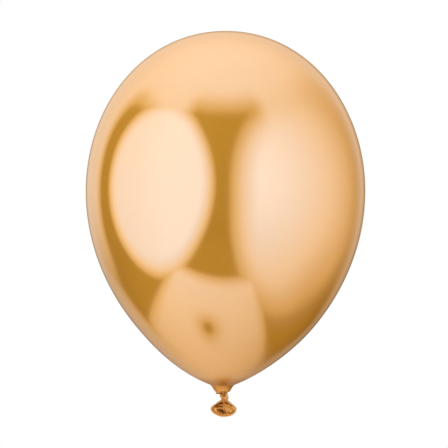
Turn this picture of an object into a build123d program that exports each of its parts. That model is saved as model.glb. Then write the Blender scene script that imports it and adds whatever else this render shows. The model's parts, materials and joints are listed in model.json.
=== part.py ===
from build123d import *
import math
import os

# Round latex party balloon, 28 cm across, inflated and tied shut with an overhand knot.
# Millimetres. The origin is the tie point, on the axis between the neck and the knot.
# +Z runs up through the crown, and the open mouth of the tail faces -Y.
# One dipped film makes the whole balloon, and each region of it is a solid of its own.

# Bulb: each half is radius * cos(angle)^power against height * sin(angle), from the equator.
BULB_RADIUS = 139.7
EQUATOR_Z = 202.7
CROWN_HEIGHT = 160.0
CROWN_POWER = 0.968
NECK_HEIGHT = 196.7
NECK_POWER = 1.392
NECK_END_ANGLE = 80.5
BULB_WALL = 0.4
PROFILE_POINTS = 9

# Neck: the tapering end below the collar, gathered in at its foot.
COLLAR_Z = 9.6
COLLAR_RADIUS = 13.0
NECK_WALL = 0.8
GATHER_RADIUS = 1.5
GATHER_Z = 3.6
# Middle of the neck's wall from above the collar, down, and up again inside the folded foot.
NECK_PROFILE = [
    (14.0, 10.2),
    (11.6, 8.3),
    (9.2, 5.2),
    (7.6, 2.7),
    (5.2, 1.1),
    (3.2, 1.9),
    (GATHER_RADIUS + NECK_WALL / 2, GATHER_Z),
]

# Twisted film that runs from the neck through the knot to the tail.
STRAND_RADIUS = 1.2
BALL_RADIUS = 1.75
STRAND_TOP_Z = 7.0

# Knot: one turn of the strand around itself.
KNOT_BOTTOM_Z = -6.2
LOOP_Z = -3.3
LOOP_RADIUS = 2.75
LOOP_TUBE = 1.35
LOOP_TILT = 20.0

# Tail: a bell of film that hangs from a short stem, its mouth turned to -Y and slightly down.
STEM_RADIUS = 1.0
STEM_END_Z = -9.2
STEM_BALL_RADIUS = 1.3
SKIRT_WALL = 0.8
MOUTH_Y = -4.0
MOUTH_Z = -15.0
MOUTH_HALF_WIDTH = 12.6
MOUTH_HALF_HEIGHT = 7.6
MOUTH_TURN = 72.0
LIP_RADIUS = 0.8
# Sections from the stem to just behind the mouth: y, z, half width, half height, turn from straight down.
SKIRT_SECTIONS = [
    (0.2, -10.0, 2.3, 2.1, -10.0),
    (1.5, -11.3, 6.0, 4.3, 12.0),
    (0.5, -13.5, 10.3, 6.7, 42.0),
]

# Air gap between pieces that move against each other, and between neighbours.
CLEARANCE = 0.05


def bulb_half(radius, height, power, last_angle, direction):
    """Points of one half of the bulb's outline, from the equator to last_angle."""
    points = []
    for step in range(PROFILE_POINTS + 1):
        angle = math.radians(last_angle * step / PROFILE_POINTS)
        r = radius * math.cos(angle) ** power
        points.append((max(r, 0.0), EQUATOR_Z + direction * height * math.sin(angle)))
    return points


def bulb_solid(inset):
    """Closed solid inside the bulb's outline, drawn in by inset."""
    radius = BULB_RADIUS - inset
    top = bulb_half(radius, CROWN_HEIGHT - inset, CROWN_POWER, 90.0, 1)
    bottom = bulb_half(radius, NECK_HEIGHT - inset, NECK_POWER, NECK_END_ANGLE, -1)
    upper = Plane.XZ * Spline(top, tangents=[(0, 1), (-1, 0)])
    lower = Plane.XZ * Spline(bottom)
    foot = (bottom[-1][0], 0, bottom[-1][1])
    axis_foot = (0, 0, bottom[-1][1])
    crown = (0, 0, top[-1][1])
    closing = Polyline(foot, axis_foot, crown)
    outline = make_face(Wire.combine([*upper.edges(), *lower.edges(), *closing.edges()])[0].edges())
    return revolve(outline, Axis.Z, 360)


def envelope():
    """Inflated bulb: a thin closed skin, open only at the collar."""
    skin = bulb_solid(0.0) - bulb_solid(BULB_WALL)
    seat = Pos(0, 0, COLLAR_Z) * Sphere(COLLAR_RADIUS + CLEARANCE)
    return skin - seat


def neck_cone():
    """Tapering neck with its foot folded in towards the twisted film."""
    wall = revolve(Plane.XZ * trace(Spline(NECK_PROFILE), NECK_WALL), Axis.Z, 360)
    seat = Pos(0, 0, COLLAR_Z) * Sphere(COLLAR_RADIUS - CLEARANCE)
    hole = Cylinder(GATHER_RADIUS, 2 * COLLAR_Z)
    return (wall & seat) - hole


def upright_strand(low_z, high_z):
    """Straight round strand on the axis, between two heights."""
    return Pos(0, 0, (low_z + high_z) / 2) * Cylinder(STRAND_RADIUS, high_z - low_z)


def ball(y, z, radius):
    """Ball on the YZ plane."""
    return Pos(0, y, z) * Sphere(radius)


def neck_strand():
    """Twisted film inside the neck, down to the tie point."""
    return upright_strand(0, STRAND_TOP_Z) - ball(0, 0, BALL_RADIUS + CLEARANCE)


def knot_core():
    """Strand through the middle of the knot, swollen at both ends."""
    straight = upright_strand(KNOT_BOTTOM_Z, 0)
    return straight + ball(0, 0, BALL_RADIUS) + ball(0, KNOT_BOTTOM_Z, BALL_RADIUS)


def knot_loop():
    """Turn of the knot around its core."""
    return Pos(0, 0, LOOP_Z) * Rot(LOOP_TILT, 0, 0) * Torus(LOOP_RADIUS, LOOP_TUBE)


def tail_strand():
    """Short stem of bunched film from the knot to the top of the tail."""
    middle = (KNOT_BOTTOM_Z + STEM_END_Z) / 2
    straight = Pos(0, 0, middle) * Cylinder(STEM_RADIUS, KNOT_BOTTOM_Z - STEM_END_Z)
    seat = ball(0, KNOT_BOTTOM_Z, BALL_RADIUS + CLEARANCE)
    return straight + ball(0, STEM_END_Z, STEM_BALL_RADIUS) - seat


def across_tail(y, z, turn):
    """Plane across the tail at a point of its bent centre line, turn degrees from straight down."""
    lean = math.radians(turn)
    return Plane(origin=(0, y, z), x_dir=(1, 0, 0), z_dir=(0, -math.sin(lean), -math.cos(lean)))


def bell(inset):
    """Solid bell from the stem to the mouth, drawn in by inset."""
    mouth = (MOUTH_Y, MOUTH_Z, MOUTH_HALF_WIDTH, MOUTH_HALF_HEIGHT, MOUTH_TURN)
    sections = []
    for y, z, half_width, half_height, turn in [*SKIRT_SECTIONS, mouth]:
        sections.append(across_tail(y, z, turn) * Ellipse(half_width - inset, half_height - inset))
    return loft(sections)


def tail_skirt():
    """Thin bell of film, open at the mouth and seated on the ball of the stem."""
    crown = Pos(0, 0, SKIRT_SECTIONS[0][1]) * Cylinder(MOUTH_HALF_WIDTH, 2 * SKIRT_WALL)
    hollow = bell(SKIRT_WALL) - crown
    return bell(0) - hollow - ball(0, STEM_END_Z, STEM_BALL_RADIUS + CLEARANCE)


def rolled_lip():
    """Round bead rolled along the edge of the mouth."""
    across = across_tail(MOUTH_Y, MOUTH_Z, MOUTH_TURN).offset(LIP_RADIUS + CLEARANCE)
    middle = SKIRT_WALL / 2
    path = (across * Ellipse(MOUTH_HALF_WIDTH - middle, MOUTH_HALF_HEIGHT - middle)).edge()
    section = Plane(origin=path @ 0, z_dir=path % 0) * Circle(LIP_RADIUS)
    return sweep(section, path=path)


PIECES = {
    "envelope": envelope,
    "neck_cone": neck_cone,
    "neck_strand": neck_strand,
    "knot_core": knot_core,
    "knot_loop": knot_loop,
    "tail_strand": tail_strand,
    "tail_skirt": tail_skirt,
    "rolled_lip": rolled_lip,
}

os.makedirs("parts", exist_ok=True)
for name, make in PIECES.items():
    piece = make()
    export_step(piece, f"parts/{name}.step")
    box = piece.bounding_box()
    print(name, "solids", len(piece.solids()), "volume", round(piece.volume, 2), box.min, box.max)
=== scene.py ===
import json
import math

import bpy
import numpy as np
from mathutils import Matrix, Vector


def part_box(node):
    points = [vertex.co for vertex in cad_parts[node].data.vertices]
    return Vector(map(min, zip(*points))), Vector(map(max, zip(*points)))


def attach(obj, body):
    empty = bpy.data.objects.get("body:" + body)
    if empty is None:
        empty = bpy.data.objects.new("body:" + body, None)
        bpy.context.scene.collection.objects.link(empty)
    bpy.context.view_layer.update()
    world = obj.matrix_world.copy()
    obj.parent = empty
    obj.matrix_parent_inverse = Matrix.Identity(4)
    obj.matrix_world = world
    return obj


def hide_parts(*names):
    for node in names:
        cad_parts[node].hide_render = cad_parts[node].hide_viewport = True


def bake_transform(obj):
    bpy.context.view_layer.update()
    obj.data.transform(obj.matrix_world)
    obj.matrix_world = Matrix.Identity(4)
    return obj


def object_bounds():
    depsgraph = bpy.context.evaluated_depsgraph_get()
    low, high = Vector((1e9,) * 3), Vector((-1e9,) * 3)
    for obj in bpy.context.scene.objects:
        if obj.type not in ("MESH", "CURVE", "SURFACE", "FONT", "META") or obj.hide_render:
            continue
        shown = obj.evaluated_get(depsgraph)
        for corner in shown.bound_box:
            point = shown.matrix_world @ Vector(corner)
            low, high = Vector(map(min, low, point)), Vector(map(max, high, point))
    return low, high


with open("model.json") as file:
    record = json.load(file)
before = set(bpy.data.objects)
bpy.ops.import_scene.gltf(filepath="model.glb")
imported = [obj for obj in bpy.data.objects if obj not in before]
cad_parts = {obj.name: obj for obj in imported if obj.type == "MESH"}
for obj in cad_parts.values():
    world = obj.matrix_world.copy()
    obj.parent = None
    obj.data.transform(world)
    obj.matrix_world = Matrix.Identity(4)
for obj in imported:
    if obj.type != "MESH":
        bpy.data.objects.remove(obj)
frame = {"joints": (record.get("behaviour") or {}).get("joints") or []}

cad_low, cad_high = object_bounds()

# Lengths in this script are in millimetres until a mesh is made, and MM turns them into metres.
MM = 0.001

# ---------------------------------------------------------------------------------------------
# Sizes taken from the frame
# ---------------------------------------------------------------------------------------------
bulb_low, bulb_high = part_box("envelope")
lip_low, lip_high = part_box("rolled_lip")
joints = {joint["name"]: joint for joint in frame["joints"]}

BULB_RADIUS = bulb_high.x / MM
CROWN_Z = bulb_high.z / MM
COLLAR_Z = joints["neck_bend"]["pos_m"][2] / MM
LIP_HALF_WIDTH = lip_high.x / MM
LIP_BOTTOM_Z = lip_low.z / MM

# Bulb outline: radius * cos(angle)^power against height * sin(angle), from the equator.
EQUATOR_Z = 202.7
CROWN_POWER = 0.968
NECK_HEIGHT = 196.4
NECK_POWER = 1.400


# ---------------------------------------------------------------------------------------------
# Small tools
# ---------------------------------------------------------------------------------------------
def smooth(value, start, end):
    """0 before start, 1 after end, and smooth between them."""
    t = np.clip((np.asarray(value, float) - start) / (end - start), 0.0, 1.0)
    return t * t * (3.0 - 2.0 * t)


def around(count):
    """Angles around a ring, 0 at +X and a quarter turn at -Y."""
    return np.linspace(0.0, 2.0 * math.pi, count, endpoint=False)


def add_mesh(name, vertices, faces):
    """New smooth-shaded object from points in millimetres."""
    mesh = bpy.data.meshes.new(name)
    mesh.from_pydata((np.asarray(vertices) * MM).tolist(), [], faces)
    mesh.validate()
    mesh.shade_smooth()
    piece = bpy.data.objects.new(name, mesh)
    bpy.context.scene.collection.objects.link(piece)
    return piece


def ring_faces(rows, columns, closed_rows=False):
    """Quads over rows of points, each row a closed ring of columns points."""
    faces = []
    last = rows if closed_rows else rows - 1
    for row in range(last):
        below = (row + 1) % rows
        for column in range(columns):
            beside = (column + 1) % columns
            upper = row * columns
            lower = below * columns
            faces.append((upper + column, upper + beside, lower + beside, lower + column))
    return faces


def set_values(piece, name, values):
    """Stores one number per point on the mesh, for the materials to read."""
    layer = piece.data.attributes.new(name, "FLOAT", "POINT")
    layer.data.foreach_set("value", np.asarray(values, np.float32))


def smooth_path(points, per_span, closed=False):
    """Points along a smooth curve through the given points."""
    points = np.asarray(points, float)
    count = len(points)
    spans = count if closed else count - 1
    path = []
    for span in range(spans):
        if closed:
            p0, p1, p2, p3 = (points[(span + shift) % count] for shift in (-1, 0, 1, 2))
        else:
            p0, p1, p2, p3 = (points[min(max(span + shift, 0), count - 1)] for shift in (-1, 0, 1, 2))
        for step in range(per_span):
            t = step / per_span
            path.append(
                0.5 * (2 * p1 + (p2 - p0) * t + (2 * p0 - 5 * p1 + 4 * p2 - p3) * t**2
                       + (3 * p1 - p0 - 3 * p2 + p3) * t**3)
            )
    if not closed:
        path.append(points[-1])
    return np.array(path)


def bunched_tube(name, path, radius, closed=False, grooves=6, depth=0.12, twist=1.5, sides=40, taper=None):
    """Tube of gathered film along a path: its section has soft grooves that twist along it."""
    rows = len(path)
    ahead = np.roll(path, -1, axis=0)
    behind = np.roll(path, 1, axis=0)
    if not closed:
        ahead[-1] = path[-1]
        behind[0] = path[0]
    along = ahead - behind
    along /= np.linalg.norm(along, axis=1)[:, None]
    side = np.cross(along[0], (0.0, 0.0, 1.0))
    if np.linalg.norm(side) < 0.1:
        side = np.cross(along[0], (0.0, 1.0, 0.0))
    side /= np.linalg.norm(side)
    sides_of = []
    for row in range(rows):
        side = side - along[row] * (side @ along[row])
        side /= np.linalg.norm(side)
        sides_of.append(side)
    sides_of = np.array(sides_of)
    slip = 0.0
    if closed:
        carried = sides_of[-1] - along[0] * (sides_of[-1] @ along[0])
        carried /= np.linalg.norm(carried)
        slip = math.atan2(carried @ np.cross(along[0], sides_of[0]), carried @ sides_of[0])
        twist = round(twist)
    angles = around(sides)
    vertices = []
    for row in range(rows):
        share = row / rows
        turn = angles - slip * share
        up = np.cross(along[row], sides_of[row])
        groove = np.abs(np.sin((grooves * angles + 2 * math.pi * twist * share) / 2.0))
        ripple = 0.35 * np.sin(3 * angles + 2 * math.pi * 3 * share + 1.0)
        r = radius * (1.0 - depth + depth * groove + 0.3 * depth * ripple)
        if taper is not None:
            r = r * taper(share)
        vertices.append(
            path[row] + r[:, None] * (np.cos(turn)[:, None] * sides_of[row] + np.sin(turn)[:, None] * up)
        )
    vertices = np.concatenate(vertices)
    faces = ring_faces(rows, sides, closed)
    if not closed:
        faces.append(tuple(range(sides))[::-1])
        faces.append(tuple((rows - 1) * sides + column for column in range(sides)))
    return add_mesh(name, vertices, faces)


# ---------------------------------------------------------------------------------------------
# Bulb and neck: one film from the crown down to the folded foot
# ---------------------------------------------------------------------------------------------
BULB_SIDES = 256
CROWN_RINGS = 96
LOWER_RINGS = 100
LOWER_END = 70.0
NECK_STEP = 0.2
NECK_LOW_Z = 2.4
FOLD_RINGS = 6

# Neck below the collar: half width at the tie point and growth for each millimetre up.
NECK_FOOT_RADIUS = 5.95
NECK_SLOPE = 0.6
COLLAR_SOFTNESS = 1.9
ROUNDING_LOW_Z = 25.0
ROUNDING_TOP_Z = 70.0

# Foot of the neck, folded under and up again: radius and height.
FOOT_FOLD = [(7.0, 2.0), (6.2, 1.2), (5.3, 0.8), (4.7, 1.1), (4.2, 2.2), (3.4, 4.0), (2.2, 5.6)]

# The foot is lowest at the back left.
FOOT_DROP = 1.5
FOOT_LOW_SIDE = math.radians(232.0)
FOOT_SHIFT = -0.6
FOOT_TOP_Z = 3.0

# Groove above the hem, deepest at the front left.
HEM_Z = 2.2
HEM_HEIGHT = 0.6
HEM_DEPTH = 1.0
HEM_SIDE = math.radians(150.0)

# The neck hangs a little to one side of the bulb's axis.
NECK_LEAN = -2.5
LEAN_TOP_Z = 66.0
LEAN_LOW_Z = 12.0
# Ripples round the neck: how many, height and shift, and the share of the radius that they take.
PLEATS = ((7, 0.5, 0.4), (11, 0.35, 2.1), (17, 0.2, 4.0), (29, 0.1, 1.2))
PLEAT_DEPTH = 0.018
PLEAT_LOW_Z = 2.0
PLEAT_TOP_Z = COLLAR_Z + 3.0

# The film is slack below STRETCH_LOW_Z and fully stretched above STRETCH_TOP_Z.
STRETCH_LOW_Z = COLLAR_Z - 4.0
STRETCH_TOP_Z = COLLAR_Z + 50.0

# Share of painted shade at the foot of the neck, and how much it grows up to the collar, so the neck is
# painted darkest where it tucks under the bulb.
NECK_PAINTED_SHADE = 0.34
NECK_PAINTED_SHADE_RISE = 0.22
NECK_PAINTED_SHADE_LOW_Z = 2.5
NECK_PAINTED_SHADE_TOP_Z = COLLAR_Z - 1.0


def lower_radius(z):
    """Bulb below the equator, rounded softly into the straight neck at the collar."""
    drop = min((EQUATOR_Z - z) / NECK_HEIGHT, 1.0)
    bulb = BULB_RADIUS * (1.0 - drop**2) ** (NECK_POWER / 2.0)
    gap = bulb - (NECK_FOOT_RADIUS + NECK_SLOPE * z)
    rounding = 0.5 * (math.hypot(gap, COLLAR_SOFTNESS) - gap)
    return bulb + rounding * (1.0 - smooth(z, ROUNDING_LOW_Z, ROUNDING_TOP_Z))


def bulb_profile():
    """Radius and height down the whole film, from just beside the crown to inside the folded foot."""
    crown_height = CROWN_Z - EQUATOR_Z
    profile = []
    for angle in np.radians(np.linspace(90.0, 0.0, CROWN_RINGS)[1:]):
        z = EQUATOR_Z + crown_height * math.sin(angle)
        profile.append((BULB_RADIUS * math.cos(angle) ** CROWN_POWER, z))
    for angle in np.radians(np.linspace(0.0, LOWER_END, LOWER_RINGS)[1:]):
        z = EQUATOR_Z - NECK_HEIGHT * math.sin(angle)
        profile.append((lower_radius(z), z))
    for z in np.arange(profile[-1][1] - NECK_STEP, NECK_LOW_Z, -NECK_STEP):
        profile.append((lower_radius(z), z))
    profile.extend(smooth_path(FOOT_FOLD, FOLD_RINGS))
    return np.array(profile)


def pleats(angles):
    """Uneven ripples around the neck, about -1 to 1."""
    total = np.zeros_like(angles)
    for count, height, shift in PLEATS:
        total += height * np.cos(count * angles + shift)
    return total


def film_ring(r, z):
    """One ring of the film, with its pleats, its hem and the lean of the neck."""
    angles = around(BULB_SIDES)
    slack = 1.0 - smooth(z, PLEAT_LOW_Z, PLEAT_TOP_Z)
    ring = r * (1.0 + PLEAT_DEPTH * slack * pleats(angles))
    hem = math.exp(-(((z - HEM_Z) / HEM_HEIGHT) ** 2))
    ring -= HEM_DEPTH * hem * np.clip(np.cos(angles - HEM_SIDE), 0.0, 1.0)
    foot = 1.0 - smooth(z, 0.0, FOOT_TOP_Z)
    lean = NECK_LEAN * (1.0 - smooth(z, LEAN_LOW_Z, LEAN_TOP_Z))
    drop = FOOT_DROP * foot * np.cos(angles - FOOT_LOW_SIDE)
    x = ring * np.cos(angles) + lean + FOOT_SHIFT * foot
    return np.column_stack((x, -ring * np.sin(angles), z - drop))


def bulb_and_neck():
    """Film of the bulb and the neck, closed at the crown by a fan."""
    profile = bulb_profile()
    rows = [film_ring(r, z) for r, z in profile]
    stretch = np.repeat(smooth(profile[:, 1], STRETCH_LOW_Z, STRETCH_TOP_Z), BULB_SIDES)
    vertices = np.concatenate([np.array([[0.0, 0.0, CROWN_Z]]), *rows])
    faces = [(0, 1 + (column + 1) % BULB_SIDES, 1 + column) for column in range(BULB_SIDES)]
    faces += [tuple(corner + 1 for corner in face) for face in ring_faces(len(rows), BULB_SIDES)]
    piece = add_mesh("bulb_and_neck_film", vertices, faces)
    set_values(piece, "stretch", np.concatenate([[1.0], stretch]))
    # Painted shade on the neck, growing towards the collar; the stretched bulb above does not show it.
    neck_top = smooth(vertices[:, 2], NECK_PAINTED_SHADE_LOW_Z, NECK_PAINTED_SHADE_TOP_Z)
    set_values(piece, "painted_shade", NECK_PAINTED_SHADE + NECK_PAINTED_SHADE_RISE * neck_top)
    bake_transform(piece)
    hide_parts("envelope", "neck_cone")
    return piece


# ---------------------------------------------------------------------------------------------
# Knot
# ---------------------------------------------------------------------------------------------
# Strand from inside the neck, down the front of the knot and into the tail.
STRAND_POINTS = [
    (-1.6, 0.3, 5.0), (-0.2, -0.6, 2.4), (1.3, -1.8, 0.6), (1.9, -2.6, -1.4),
    (1.8, -2.6, -3.2), (0.8, -1.9, -4.8), (-0.2, -1.0, -5.6),
]
STRAND_RADIUS = 1.4
# Turn of film round the strands.
TURN_POINTS = [
    (-3.2, -0.8, -0.9), (-3.2, -2.3, -2.6), (-1.6, -3.0, -3.9), (0.5, -2.3, -4.5),
    (2.0, -0.2, -4.2), (1.9, 2.0, -3.2), (0.0, 3.0, -2.0), (-2.2, 2.2, -1.1),
]
TURN_RADIUS = 1.75
# Second strand, hidden behind the first.
CORE_POINTS = [(-2.2, 0.8, 4.6), (-1.8, 1.0, 1.5), (-1.0, 0.7, -1.5), (-0.8, 0.6, -2.9)]
CORE_RADIUS = 1.9
KNOT_STRETCH = 0.05
# Even share of painted shade over the whole knot.
KNOT_PAINTED_SHADE = 0.35


def knot_strands():
    """The strand down the front of the knot, and the one behind it."""
    strand = bunched_tube("knot_strand", smooth_path(STRAND_POINTS, 10), STRAND_RADIUS, grooves=5)
    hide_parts("neck_strand")
    core = bunched_tube("knot_core_strand", smooth_path(CORE_POINTS, 10), CORE_RADIUS, grooves=6)
    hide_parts("knot_core")
    for piece in (strand, core):
        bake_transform(piece)
    return [strand, core]


def knot_turn():
    """The turn of film round the strands."""
    path = smooth_path(TURN_POINTS, 12, closed=True)
    piece = bunched_tube("knot_turn", path, TURN_RADIUS, closed=True, grooves=6)
    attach(piece, "knot")
    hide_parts("knot_loop")
    return piece


def knot():
    pieces = [*knot_strands(), knot_turn()]
    for piece in pieces:
        count = len(piece.data.vertices)
        set_values(piece, "stretch", np.full(count, KNOT_STRETCH))
        # Painted shade, the same share all over the knot.
        set_values(piece, "painted_shade", np.full(count, KNOT_PAINTED_SHADE))
    return pieces


# ---------------------------------------------------------------------------------------------
# Tail: bell of film with an open mouth and a rolled lip
# ---------------------------------------------------------------------------------------------
TAIL_SIDES = 288
TAIL_ROWS = 84
TAIL_X = -1.2
TAIL_TOP_X = -0.7
TAIL_TOP_Y = 0.2
TAIL_TOP_Z = -4.8
TAIL_TOP_RADIUS = 2.0
BEAD_RADIUS = 0.8
MOUTH_Y = -4.0
MOUTH_LEAN = math.radians(18.0)
MOUTH_UPPER_POWER = 1.39
MOUTH_LOWER_POWER = 2.0
MOUTH_TOP_Z = -6.7
# The bottom of the mouth hangs this far to the right of its middle.
MOUTH_SLIP = 0.9
FILM = 0.3
# Height of the small ripples all over the skirt.
SKIRT_RIPPLE = 0.14
# How the skirt leaves its top and meets the lip: out and down, then back and up, for the top,
# the sides and the bottom of the tail.
LEAVE_OUT = (1.4, 1.0, 3.0)
LEAVE_DOWN = (0.8, 1.4, 2.0)
ARRIVE_BACK = (1.0, 4.3, 8.0)
ARRIVE_UP = (0.2, 1.8, 2.0)

# Folds seen in the mouth: start, end (x and z), width, and height towards the viewer. Negative heights are
# pockets, which get painted shade.
FOLDS = [
    ((-9.6, -14.5), (-2.2, -14.2), 0.75, 2.6),
    ((-4.4, -10.6), (-1.2, -12.6), 0.80, 2.0),
    ((-0.4, -9.4), (6.4, -17.0), 0.95, 2.6),
    ((-0.8, -12.4), (3.4, -16.4), 0.80, 1.6),
    ((3.4, -10.0), (9.6, -15.4), 0.90, 1.8),
    ((-0.2, -15.6), (3.0, -19.4), 0.75, 2.6),
    ((-9.6, -15.4), (-6.6, -19.2), 0.85, 2.0),
    ((-5.0, -16.6), (-1.2, -17.8), 1.10, -3.4),
    ((-2.0, -18.6), (0.6, -18.8), 0.90, -2.6),
    ((-7.6, -15.6), (-4.4, -16.2), 0.60, -2.0),
    ((-7.6, -12.2), (-2.4, -12.9), 0.60, -1.8),
    ((-1.4, -8.0), (-9.6, -12.6), 0.80, -2.4),
    ((-0.6, -7.8), (7.2, -12.0), 0.60, -2.0),
    ((-8.0, -18.8), (-2.2, -20.8), 0.80, 2.2),
    ((-2.2, -20.8), (6.2, -20.2), 0.80, 2.2),
]
# Share of the fold heights that the shape takes. The full heights only set how much painted shade darkens
# the creases.
FOLD_RELIEF = 0.45

# Lip: how it thins at the top, and its share of painted shade, which grows towards the top of the mouth.
LIP_SIDES = 24
LIP_TAPER = 0.3
LIP_PAINTED_SHADE = 0.35
LIP_PAINTED_SHADE_RISE = 0.25


def by_side(angles, top, side, bottom):
    """A value that is top at the top of the tail, side at both sides and bottom at the bottom."""
    up = np.sin(angles)
    return side + (top - bottom) / 2.0 * up + ((top + bottom) / 2.0 - side) * up**2


def mouth_edge(angles):
    """Middle of the rolled lip: a pointed arch above and half an ellipse below, leaning forward."""
    half_width = LIP_HALF_WIDTH - BEAD_RADIUS
    bottom_z = LIP_BOTTOM_Z + BEAD_RADIUS
    middle_z = (MOUTH_TOP_Z + bottom_z) / 2.0
    half_height = (MOUTH_TOP_Z - bottom_z) / 2.0
    power = 2.0 / np.where(np.sin(angles) > 0, MOUTH_UPPER_POWER, MOUTH_LOWER_POWER)
    across = np.sign(np.cos(angles)) * np.abs(np.cos(angles)) ** power
    up = np.sign(np.sin(angles)) * np.abs(np.sin(angles)) ** power
    ripple = 0.12 * np.sin(5 * angles + 0.6) + 0.08 * np.sin(9 * angles + 2.0)
    z = middle_z + half_height * up
    y = MOUTH_Y - (z - middle_z) * math.tan(MOUTH_LEAN) + 2.0 * ripple
    x = TAIL_X + half_width * across + MOUTH_SLIP * np.clip(-up, 0.0, 1.0)
    return np.column_stack((x, y, z + ripple * 0.5))


def tail_surface(angles, share):
    """Points of the bell at a share of the way from the knot to the mouth."""
    outward = np.column_stack((np.cos(angles), -np.sin(angles), np.zeros_like(angles)))
    top = np.array([TAIL_TOP_X, TAIL_TOP_Y, TAIL_TOP_Z]) + TAIL_TOP_RADIUS * outward
    edge = mouth_edge(angles)
    leave = by_side(angles, *LEAVE_OUT)[:, None] * outward
    leave[:, 2] -= by_side(angles, *LEAVE_DOWN)
    arrive = np.column_stack((
        -0.3 * np.cos(angles) + 0.3,
        by_side(angles, *ARRIVE_BACK),
        by_side(angles, *ARRIVE_UP),
    ))
    a, b, c, d = top, top + leave, edge + arrive, edge
    t = share
    return a * (1 - t) ** 3 + 3 * b * t * (1 - t) ** 2 + 3 * c * t**2 * (1 - t) + d * t**3


def fold_height(points):
    """How far the folds move each point of the bell towards the viewer."""
    total = np.zeros(len(points))
    for start, end, width, height in FOLDS:
        start = np.array(start)
        run = np.array(end) - start
        place = points[:, [0, 2]] - start
        t = place @ run / (run @ run)
        gap = np.linalg.norm(place - np.clip(t, 0.0, 1.0)[:, None] * run, axis=1)
        ends = smooth(t, -0.25, 0.2) * (1.0 - smooth(t, 0.8, 1.25))
        total += height * ends * np.exp(-((gap / width) ** 2))
    return total


def skirt_normals(angles, share, points):
    """Outward directions of the bell at its points."""
    ahead = tail_surface(angles + 0.01, share) - points
    end = min(share + 0.01, 1.0)
    along = tail_surface(angles, end) - tail_surface(angles, end - 0.01)
    normal = np.cross(ahead, along)
    return normal / (np.linalg.norm(normal, axis=1)[:, None] + 1e-9)


def skirt_row(angles, share):
    """Points of one ring of the skirt, with its ripples and folds, and the share of painted shade in its
    creases.
    """
    points = tail_surface(angles, share)
    free = math.sin(math.pi * min(share * 1.02, 1.0)) ** 0.7
    ripple = np.abs(np.sin(5.5 * angles + 0.8 * np.sin(2 * angles + 1.0))) - 0.5
    ripple += 0.08 * np.sin(17 * angles + 1.0)
    points = points + skirt_normals(angles, share, points) * (SKIRT_RIPPLE * free * ripple)[:, None]
    # The folds are on the back wall, and die out at the stem and at the lip.
    back = smooth(-np.sin(angles), -0.35, 0.15)
    back = back * smooth(share, 0.12, 0.35) * (1.0 - smooth(share, 0.86, 0.99))
    height = fold_height(points) * back
    points[:, 1] -= FOLD_RELIEF * height
    # Painted shade: pockets behind the folds get the most of the shade brown, strongest on the back wall.
    return points, smooth(-height, -1.9, 2.6) * (0.3 + 0.7 * back)


def tail_skirt():
    """Bell of film from the stem to the lip."""
    angles = around(TAIL_SIDES)
    rows = [skirt_row(angles, share) for share in np.linspace(0.0, 1.0, TAIL_ROWS)]
    vertices = np.concatenate([points for points, painted_shade in rows])
    piece = add_mesh("tail_skirt_film", vertices, ring_faces(TAIL_ROWS, TAIL_SIDES))
    set_values(piece, "painted_shade", np.concatenate([painted_shade for points, painted_shade in rows]))
    shell = piece.modifiers.new("film", "SOLIDIFY")
    shell.thickness = FILM * MM
    shell.offset = 0.0
    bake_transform(piece)
    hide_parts("tail_skirt")
    return piece


def lip_taper(share):
    """Thickness of the lip round the mouth: full along the bottom and thinner at the top."""
    return 1.0 - LIP_TAPER * max(math.sin(2.0 * math.pi * share), 0.0)


def rolled_lip():
    """Bead rolled along the edge of the mouth."""
    angles = around(TAIL_SIDES)
    piece = bunched_tube(
        "rolled_lip_bead", mouth_edge(angles), BEAD_RADIUS, closed=True,
        grooves=2, depth=0.08, twist=9, sides=LIP_SIDES, taper=lip_taper,
    )
    up = np.repeat(np.sin(angles), LIP_SIDES)
    # Painted shade: the lip is painted darker towards the top of the mouth and lighter along the bottom.
    set_values(piece, "painted_shade", LIP_PAINTED_SHADE + LIP_PAINTED_SHADE_RISE * up)
    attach(piece, "tail")
    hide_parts("rolled_lip")
    return piece


STEM_POINTS = [(-0.8, 0.5, -2.2), (-0.9, 0.2, -4.6), (-1.0, 0.1, -6.2), (-1.0, 0.2, -8.4)]
STEM_RADIUS = 2.15
STEM_TAPER = 0.45


def stem_taper(share):
    """Thickness of the stem, which thins towards its lower end."""
    return 1.0 - STEM_TAPER * share


def tail_stem():
    """Bunched film between the knot and the bell, mostly hidden by both."""
    path = smooth_path(STEM_POINTS, 10)
    piece = bunched_tube("tail_stem_film", path, STEM_RADIUS, grooves=6, taper=stem_taper)
    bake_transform(piece)
    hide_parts("tail_strand")
    return piece


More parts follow.
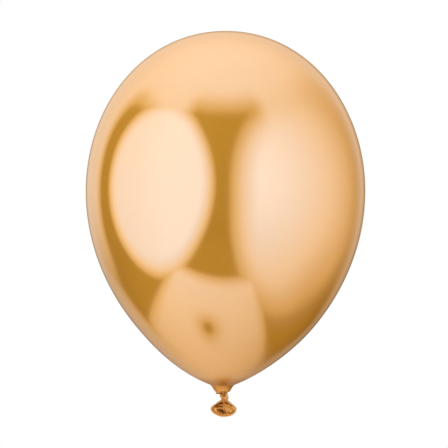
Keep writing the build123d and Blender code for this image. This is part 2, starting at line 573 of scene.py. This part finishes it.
# ---------------------------------------------------------------------------------------------
# Materials
# ---------------------------------------------------------------------------------------------
class Nodes:
    """Short calls for building a node tree."""

    def __init__(self, tree):
        self.tree = tree
        tree.nodes.clear()

    def add(self, kind, **settings):
        node = self.tree.nodes.new(kind)
        for name, value in settings.items():
            setattr(node, name, value)
        return node

    def put(self, socket, value):
        if isinstance(value, bpy.types.NodeSocket):
            self.tree.links.new(value, socket)
        else:
            socket.default_value = value

    def maths(self, operation, first, second=0.0):
        node = self.add("ShaderNodeMath", operation=operation)
        self.put(node.inputs[0], first)
        self.put(node.inputs[1], second)
        return node.outputs[0]

    def plus(self, first, second):
        return self.maths("ADD", first, second)

    def minus(self, first, second):
        return self.maths("SUBTRACT", first, second)

    def times(self, first, second):
        return self.maths("MULTIPLY", first, second)

    def larger(self, first, second):
        return self.maths("MAXIMUM", first, second)

    def ease(self, value, start, end, low=0.0, high=1.0):
        """low before start, high after end, and smooth between them."""
        node = self.add("ShaderNodeMapRange", interpolation_type="SMOOTHSTEP")
        for socket, number in zip(node.inputs[:5], (value, start, end, low, high)):
            self.put(socket, number)
        return node.outputs[0]

    def ramp(self, share, low, high):
        """low where share is 0 and high where it is 1."""
        return self.plus(self.times(share, high - low), low)

    def mix(self, factor, first, second):
        node = self.add("ShaderNodeMix", data_type="RGBA")
        self.put(node.inputs["Factor"], factor)
        self.put(node.inputs[6], first)
        self.put(node.inputs[7], second)
        return node.outputs[2]

    def noise(self, place, scale, detail=2.0, roughness=0.5):
        node = self.add("ShaderNodeTexNoise")
        self.put(node.inputs["Vector"], place)
        self.put(node.inputs["Scale"], scale)
        self.put(node.inputs["Detail"], detail)
        self.put(node.inputs["Roughness"], roughness)
        return node.outputs["Fac"]


STRETCHED_GOLD = (0.65, 0.332, 0.042, 1.0)
STRETCHED_GOLD_DEEP = (0.61, 0.305, 0.036, 1.0)
SLACK_GOLD = (0.80, 0.44, 0.105, 1.0)
SLACK_GOLD_DEEP = (0.72, 0.37, 0.070, 1.0)
# Dark brown of painted shade, mixed into the slack film's colour.
PAINTED_SHADE_BROWN = (0.22, 0.080, 0.004, 1.0)

# Finish of the film: first where it is slack, then where it is stretched.
METALLIC = (0.50, 0.25)
ROUGHNESS = (0.36, 0.60)
COAT_WEIGHT = (0.45, 1.0)
COAT_IOR = (2.1, 3.1)
COAT_ROUGHNESS = (0.34, 0.07)
BUMP_STRENGTH = (0.12, 0.02)
BUMP_METRES = 0.0003
# The film counts as firm from this stretch on.
FIRM_STRETCH = 0.15

# Size of the colour's mottling and of the fine grain, as noise scales.
STRETCHED_MOTTLE = 90.0
SLACK_MOTTLE = 420.0
GRAIN = 1400.0


def gold_film(name):
    """Gold latex: a mirror-like skin over pigment where it is stretched, a duller metal where slack."""
    material = bpy.data.materials.new(name)
    material.use_nodes = True
    nodes = Nodes(material.node_tree)
    place = nodes.add("ShaderNodeTexCoord").outputs["Object"]
    stretch = nodes.add("ShaderNodeAttribute", attribute_name="stretch").outputs["Fac"]
    painted_shade = nodes.add("ShaderNodeAttribute", attribute_name="painted_shade").outputs["Fac"]
    firm = nodes.ease(stretch, 0.0, FIRM_STRETCH)
    tight = nodes.mix(nodes.noise(place, STRETCHED_MOTTLE, 3.0), STRETCHED_GOLD, STRETCHED_GOLD_DEEP)
    loose = nodes.mix(nodes.noise(place, SLACK_MOTTLE, 3.0), SLACK_GOLD, SLACK_GOLD_DEEP)
    # Painted shade: the slack film is darkened towards the shade brown by the share of painted shade that
    # each mesh stores.
    loose = nodes.mix(painted_shade, loose, PAINTED_SHADE_BROWN)
    skin = nodes.add("ShaderNodeBsdfPrincipled")
    nodes.put(skin.inputs["Base Color"], nodes.mix(firm, loose, tight))
    nodes.put(skin.inputs["Metallic"], nodes.ramp(firm, *METALLIC))
    nodes.put(skin.inputs["Roughness"], nodes.ramp(stretch, *ROUGHNESS))
    nodes.put(skin.inputs["Specular IOR Level"], 0.0)
    nodes.put(skin.inputs["Coat Weight"], nodes.ramp(firm, *COAT_WEIGHT))
    nodes.put(skin.inputs["Coat IOR"], nodes.ramp(firm, *COAT_IOR))
    nodes.put(skin.inputs["Coat Roughness"], nodes.ramp(stretch, *COAT_ROUGHNESS))
    bump = nodes.add("ShaderNodeBump")
    nodes.put(bump.inputs["Strength"], nodes.ramp(stretch, *BUMP_STRENGTH))
    nodes.put(bump.inputs["Distance"], BUMP_METRES)
    nodes.put(bump.inputs["Height"], nodes.noise(place, GRAIN, 2.0))
    nodes.put(skin.inputs["Normal"], bump.outputs["Normal"])
    nodes.put(skin.inputs["Coat Normal"], bump.outputs["Normal"])
    out = nodes.add("ShaderNodeOutputMaterial")
    nodes.put(out.inputs["Surface"], skin.outputs["BSDF"])
    return material


# ---------------------------------------------------------------------------------------------
# Studio: lamps, walls and table as soft-edged areas of a surrounding light tent
# ---------------------------------------------------------------------------------------------
# Strength of the backdrop among the lights, and the warm light that the room throws back.
GLOSS = 0.27
WARM_BOUNCE = 0.23
WARM_COLOUR = (0.82, 0.42, 0.05)

# Ovals in the light tent: middle azimuth and elevation, half width and half height, in degrees.
LEFT_SOFTBOX = (-60.0, 4.2, 46.8, 43.3)
RIGHT_DIFFUSER = (78.0, -6.0, 64.0, 52.0)
DARK_GAP = (-95.0, -1.0, 33.0, 42.0)
# Each oval's edge fades between these distances from its middle, 1 being its outline.
SOFTBOX_EDGE = (0.84, 1.16)
DIFFUSER_EDGE = (0.76, 1.24)
DARK_GAP_EDGE = (0.80, 1.22)
# Power of the ovals with fuller corners. A power of 2 gives an ellipse.
FULL_CORNERS = 3.0

# Unless a comment says otherwise, light changes smoothly from a pair's first place to its second.
# A place is an azimuth or an elevation in degrees, or x, y or z of the direction, from -1 to 1.
# A pair of lights or of shares belongs to the pair of places above it.
SOFTBOX_AZIMUTH = (-110.0, -40.0)
SOFTBOX_LIGHT = (0.43, 0.54)

# Diffuser: middle and half width of its glow both ways, its strength, and what is taken off it.
GLOW_AZIMUTH = (20.0, 99.0)
GLOW_ELEVATION = (8.0, 80.0)
GLOW_LIGHT = 0.67
GLOW_LOSS = 0.125
LOW_BACK_Z = (-0.15, -0.65)
LOW_BACK_AZIMUTH = (70.0, 120.0)
LOW_BACK_DIMMING = 0.40

# Room: light low down and overhead, its change across, the dark gap over the camera, and the walls
# at the back that stay lit below the level where the others go dark.
ROOM_ELEVATION = (20.0, 80.0)
ROOM_LIGHT = (0.215, 0.345)
ROOM_LIGHT_PER_X = -0.046
CAMERA_GAP_AZIMUTH = (56.0, 32.0)
CAMERA_GAP_ELEVATION = (44.0, 70.0)
LIT_WALL_ELEVATION = (-28.0, 2.0)
BACK_LEFT_AZIMUTH = (-128.0, -150.0)
BACK_LEFT_SHARE = 0.55
BACK_RIGHT_AZIMUTH = (146.0, 168.0)
BACK_RIGHT_SHARE = 0.5

# Table: its light, how that falls off, and its edges, as places on a plane 1 below the balloon.
TABLE_LIGHT = 0.176
TABLE_LEAST_LIGHT = 0.10
TABLE_FALL_BACK = 0.13
TABLE_FALL_ACROSS = 0.056
TABLE_LEFT = (-1.14, -0.82)
TABLE_RIGHT = (0.60, 0.39)
TABLE_FRONT = (-0.93, -0.60)
TABLE_HORIZON_Z = (-0.02, -0.06)
# Least drop of a direction, so that every place on the plane stays finite.
LEAST_DROP = 0.02
# The table's dark spot: its middle and half width both ways, and how much light it takes away.
SPOT_ACROSS = (-0.218, 0.15)
SPOT_BACK = (-0.131, 0.15)
SPOT_DIMMING = 0.95

# Doorway: x and z of its middle, the distances from there where its edge ends and starts, and how
# much light it takes away.
DOORWAY_X = 0.045
DOORWAY_Z = -0.015
DOORWAY_EDGE = (0.50, 0.20)
DOORWAY_Y = (0.0, 0.1)
DOORWAY_DIMMING = 0.76

# Warm bounce: it comes from lit places and from low down, and fades out where a lamp is.
# LIT_FROM and LAMP_FROM are amounts of light.
LIT_FROM = (0.0, 0.07)
LOW_GAP_Z = (-0.35, -0.62)
LOW_GAP_WARMTH = 0.22
LAMP_FROM = (0.20, 0.50)
BOUNCE_Y = (0.4, 0.9)
BOUNCE_SHARE_BY_Y = (1.0, 0.3)
BOUNCE_Z = (-0.5, 0.9)
BOUNCE_SHARE_BY_Z = (1.14, 0.70)
BOUNCE_FALL_PER_X = 0.18
# Least light from any direction.
LEAST_LIGHT = 0.001


class LightTent:
    """Light round the balloon, built up from the direction that it comes from.

    Azimuth 0 is towards the camera side (-Y) and grows towards +X. Angles are in degrees.
    """

    def __init__(self, nodes):
        self.n = nodes
        split = nodes.add("ShaderNodeSeparateXYZ")
        nodes.put(split.inputs[0], nodes.add("ShaderNodeTexCoord").outputs["Generated"])
        self.x, self.y, self.z = split.outputs
        forward = nodes.times(self.y, -1.0)
        self.azimuth = nodes.times(nodes.maths("ARCTAN2", self.x, forward), math.degrees(1.0))
        self.elevation = nodes.times(nodes.maths("ARCSINE", self.z), math.degrees(1.0))

    def offset(self, value, middle, half):
        return self.n.maths("DIVIDE", self.n.minus(value, middle), half)

    def bell(self, value, middle, half):
        """1 at the middle, fading to both sides."""
        square = self.n.maths("POWER", self.offset(value, middle, half), 2.0)
        return self.n.maths("POWER", math.e, self.n.times(square, -1.0))

    def oval(self, middle_azimuth, middle_elevation, half_azimuth, half_elevation, power=2.0):
        """Distance from the middle of an oval, 1 on its outline."""
        n = self.n
        across = n.maths("ABSOLUTE", self.offset(self.azimuth, middle_azimuth, half_azimuth))
        up = n.maths("ABSOLUTE", self.offset(self.elevation, middle_elevation, half_elevation))
        total = n.plus(n.maths("POWER", across, power), n.maths("POWER", up, power))
        return n.maths("POWER", total, 1.0 / power)

    def left_softbox(self):
        """Round softbox, a little brighter towards the camera."""
        shape = self.n.ease(self.oval(*LEFT_SOFTBOX), *SOFTBOX_EDGE, 1.0, 0.0)
        return self.n.times(shape, self.n.ease(self.azimuth, *SOFTBOX_AZIMUTH, *SOFTBOX_LIGHT))

    def right_diffuser(self):
        """Shape and light of a large diffuser that fades towards the back and the floor."""
        n = self.n
        outline = self.oval(*RIGHT_DIFFUSER, power=FULL_CORNERS)
        shape = n.ease(outline, *DIFFUSER_EDGE, 1.0, 0.0)
        glow = n.times(self.bell(self.azimuth, *GLOW_AZIMUTH), self.bell(self.elevation, *GLOW_ELEVATION))
        light = n.times(n.minus(n.times(glow, GLOW_LIGHT), GLOW_LOSS), shape)
        low_back = n.times(n.ease(self.z, *LOW_BACK_Z), n.ease(self.azimuth, *LOW_BACK_AZIMUTH))
        return shape, n.times(light, n.minus(1.0, n.times(low_back, LOW_BACK_DIMMING)))

    def room(self, diffuser_shape):
        """Pale walls and ceiling, with dark gaps round the softbox, over the camera and low down."""
        n = self.n
        overhead = n.ease(self.elevation, *ROOM_ELEVATION, *ROOM_LIGHT)
        light = n.plus(overhead, n.times(self.x, ROOM_LIGHT_PER_X))
        outline = self.oval(*DARK_GAP, power=FULL_CORNERS)
        light = n.times(light, n.ease(outline, *DARK_GAP_EDGE))
        ahead = n.ease(n.maths("ABSOLUTE", self.azimuth), *CAMERA_GAP_AZIMUTH)
        over_camera = n.times(n.ease(self.elevation, *CAMERA_GAP_ELEVATION, 1.0, 0.0), ahead)
        light = n.times(light, n.minus(1.0, over_camera))
        back_left = n.ease(self.azimuth, *BACK_LEFT_AZIMUTH, 0.0, BACK_LEFT_SHARE)
        back_right = n.ease(self.azimuth, *BACK_RIGHT_AZIMUTH, 0.0, BACK_RIGHT_SHARE)
        above_floor = n.ease(self.elevation, *LIT_WALL_ELEVATION)
        light = n.times(light, n.larger(above_floor, n.larger(back_left, back_right)))
        return n.times(light, n.minus(1.0, diffuser_shape))

    def table(self):
        """Pale table, straight-edged on the left, right and front, with one dark spot.

        Its places are those on a plane 1 below the balloon.
        """
        n = self.n
        drop = n.larger(n.times(self.z, -1.0), LEAST_DROP)
        across = n.maths("DIVIDE", self.x, drop)
        back = n.maths("DIVIDE", self.y, drop)
        light = n.minus(TABLE_LIGHT, n.times(back, TABLE_FALL_BACK))
        light = n.minus(light, n.times(across, TABLE_FALL_ACROSS))
        light = n.larger(light, TABLE_LEAST_LIGHT)
        light = n.times(light, n.ease(across, *TABLE_LEFT))
        light = n.times(light, n.ease(across, *TABLE_RIGHT))
        light = n.times(light, n.ease(back, *TABLE_FRONT))
        light = n.times(light, n.ease(self.z, *TABLE_HORIZON_Z))
        spot = n.times(self.bell(across, *SPOT_ACROSS), self.bell(back, *SPOT_BACK))
        return n.times(light, n.minus(1.0, n.times(spot, SPOT_DIMMING)))

    def doorway(self):
        """How dark a soft round patch almost straight behind the balloon is."""
        n = self.n
        aside = n.maths("POWER", n.minus(self.x, DOORWAY_X), 2.0)
        above = n.maths("POWER", n.minus(self.z, DOORWAY_Z), 2.0)
        away = n.maths("SQRT", n.plus(aside, above))
        return n.times(n.ease(away, *DOORWAY_EDGE), n.ease(self.y, *DOORWAY_Y, 0.0, DOORWAY_DIMMING))

    def bounce(self, light):
        """Warm light from everything that is neither a lamp nor in the dark."""
        n = self.n
        lit = n.larger(n.ease(light, *LIT_FROM), n.ease(self.z, *LOW_GAP_Z, 0.0, LOW_GAP_WARMTH))
        warm = n.times(lit, n.ease(light, *LAMP_FROM, WARM_BOUNCE, 0.0))
        warm = n.times(warm, n.ease(self.y, *BOUNCE_Y, *BOUNCE_SHARE_BY_Y))
        warm = n.times(warm, n.ease(self.z, *BOUNCE_Z, *BOUNCE_SHARE_BY_Z))
        return n.times(warm, n.minus(1.0, n.times(self.x, BOUNCE_FALL_PER_X)))


def studio_light():
    """Soft studio light from all round, over a backdrop that the camera sees as plain white."""
    scene = bpy.context.scene
    scene.world = bpy.data.worlds.new("studio")
    scene.world.use_nodes = True
    n = Nodes(scene.world.node_tree)
    tent = LightTent(n)
    diffuser_shape, diffuser_light = tent.right_diffuser()
    walls = n.plus(diffuser_light, tent.room(diffuser_shape))
    light = n.larger(n.larger(tent.left_softbox(), walls), tent.table())
    light = n.times(light, n.minus(1.0, tent.doorway()))
    warm = n.add("ShaderNodeVectorMath", operation="SCALE")
    n.put(warm.inputs[0], WARM_COLOUR)
    n.put(warm.inputs["Scale"], tent.bounce(light))
    white = n.add("ShaderNodeCombineXYZ")
    for socket in white.inputs:
        n.put(socket, n.plus(light, LEAST_LIGHT))
    total = n.add("ShaderNodeVectorMath", operation="ADD")
    n.put(total.inputs[0], warm.outputs[0])
    n.put(total.inputs[1], white.outputs[0])
    seen = n.add("ShaderNodeLightPath").outputs["Is Camera Ray"]
    background = n.add("ShaderNodeBackground")
    n.put(background.inputs["Color"], n.mix(seen, total.outputs[0], (GLOSS, GLOSS, GLOSS, 1.0)))
    n.put(background.inputs["Strength"], 1.0 / GLOSS)
    out = n.add("ShaderNodeOutputWorld")
    n.put(out.inputs["Surface"], background.outputs["Background"])


# Metres: how far the floor lies below the balloon, and its half width.
FLOOR_DROP = 0.9
FLOOR_HALF = 8.0
FLOOR_COLOUR = (0.755, 0.835, 0.92, 1.0)


def floor():
    """Pale floor well below the balloon, fading out at its edge."""
    z = cad_low.z - FLOOR_DROP
    corners = [(x * FLOOR_HALF, y * FLOOR_HALF, z) for x, y in ((-1, -1), (1, -1), (1, 1), (-1, 1))]
    mesh = bpy.data.meshes.new("floor")
    mesh.from_pydata(corners, [], [(0, 1, 2, 3)])
    piece = bpy.data.objects.new("floor", mesh)
    bpy.context.scene.collection.objects.link(piece)
    piece.visible_glossy = False
    piece.visible_diffuse = False
    material = bpy.data.materials.new("floor")
    material.use_nodes = True
    nodes = Nodes(material.node_tree)
    place = nodes.add("ShaderNodeTexCoord").outputs["Object"]
    length = nodes.add("ShaderNodeVectorMath", operation="LENGTH")
    nodes.put(length.inputs[0], place)
    fade = nodes.ease(length.outputs["Value"], 0.35 * FLOOR_HALF, 0.95 * FLOOR_HALF)
    matt = nodes.add("ShaderNodeBsdfDiffuse")
    nodes.put(matt.inputs["Color"], FLOOR_COLOUR)
    clear = nodes.add("ShaderNodeBsdfTransparent")
    both = nodes.add("ShaderNodeMixShader")
    nodes.put(both.inputs[0], fade)
    nodes.put(both.inputs[1], matt.outputs[0])
    nodes.put(both.inputs[2], clear.outputs[0])
    out = nodes.add("ShaderNodeOutputMaterial")
    nodes.put(out.inputs["Surface"], both.outputs[0])
    mesh.materials.append(material)


# ---------------------------------------------------------------------------------------------
# Camera
# ---------------------------------------------------------------------------------------------
# Metres and degrees.
CAMERA_DISTANCE = 3.2
VIEW_WIDTH = 0.448
VIEW_X = -0.0014
VIEW_Z = 0.1699
CAMERA_ROLL = 0.2


def camera():
    """Long lens, level with the balloon and square to the tail's mouth."""
    data = bpy.data.cameras.new("camera")
    data.sensor_width = 36.0
    data.lens = data.sensor_width * CAMERA_DISTANCE / VIEW_WIDTH
    data.clip_end = 60.0
    seen_from = bpy.data.objects.new("camera", data)
    seen_from.location = (VIEW_X, -CAMERA_DISTANCE, VIEW_Z)
    seen_from.rotation_euler = (math.radians(90.0), math.radians(-CAMERA_ROLL), 0.0)
    bpy.context.scene.collection.objects.link(seen_from)
    bpy.context.scene.camera = seen_from


bpy.context.scene.view_settings.view_transform = "Standard"

film = gold_film("gold_latex")
for piece in (bulb_and_neck(), *knot(), tail_stem(), tail_skirt(), rolled_lip()):
    piece.data.materials.append(film)
studio_light()
floor()
camera()
